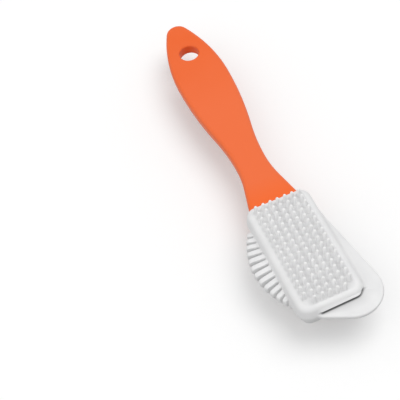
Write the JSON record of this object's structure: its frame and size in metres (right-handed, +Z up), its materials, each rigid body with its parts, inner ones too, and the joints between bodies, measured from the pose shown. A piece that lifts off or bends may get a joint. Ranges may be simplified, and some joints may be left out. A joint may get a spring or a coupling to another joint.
{
  "type": "suede brush",
  "caption": "Hand brush for suede shoes and clothes: flat paddle handle with a hang hole, rubber head with nubs, side fins and a thin flap, nylon and wire bristles below.",
  "frame": {"origin": "on the floor under the middle of the whole brush, which stands on its bristle tips", "axes": "+Z up towards the nub side, +Y along the handle from the head to the tip, +X towards the flap, -X towards the fins"},
  "size_m": [0.0416, 0.1717, 0.025],
  "materials": {
    "handle_plastic": "satin moulded",
    "head_rubber": "soft matte",
    "block_plastic": "satin moulded",
    "nylon_bristle": "clear to white filaments",
    "wire_bristle": "tarnished crimped wire",
    "anchor_metal": "plain"
  },
  "bodies": {
    "root": {"handle": "handle_plastic", "rubber_head": "head_rubber", "bristle_block": "block_plastic", "nylon_tuft_01": "nylon_bristle", "nylon_tuft_02": "nylon_bristle", "nylon_tuft_03": "nylon_bristle", "nylon_tuft_04": "nylon_bristle", "nylon_tuft_05": "nylon_bristle", "nylon_tuft_06": "nylon_bristle", "nylon_tuft_07": "nylon_bristle", "nylon_tuft_08": "nylon_bristle", "nylon_tuft_09": "nylon_bristle", "nylon_tuft_10": "nylon_bristle", "nylon_tuft_11": "nylon_bristle", "nylon_tuft_12": "nylon_bristle", "nylon_tuft_13": "nylon_bristle", "nylon_tuft_14": "nylon_bristle", "nylon_tuft_15": "nylon_bristle", "nylon_tuft_16": "nylon_bristle", "wire_tuft_01": "wire_bristle", "wire_tuft_02": "wire_bristle", "wire_tuft_03": "wire_bristle", "wire_tuft_04": "wire_bristle", "wire_tuft_05": "wire_bristle", "wire_tuft_06": "wire_bristle", "wire_tuft_07": "wire_bristle", "wire_tuft_08": "wire_bristle", "tuft_anchors": "anchor_metal"}
  },
  "joints": []
}
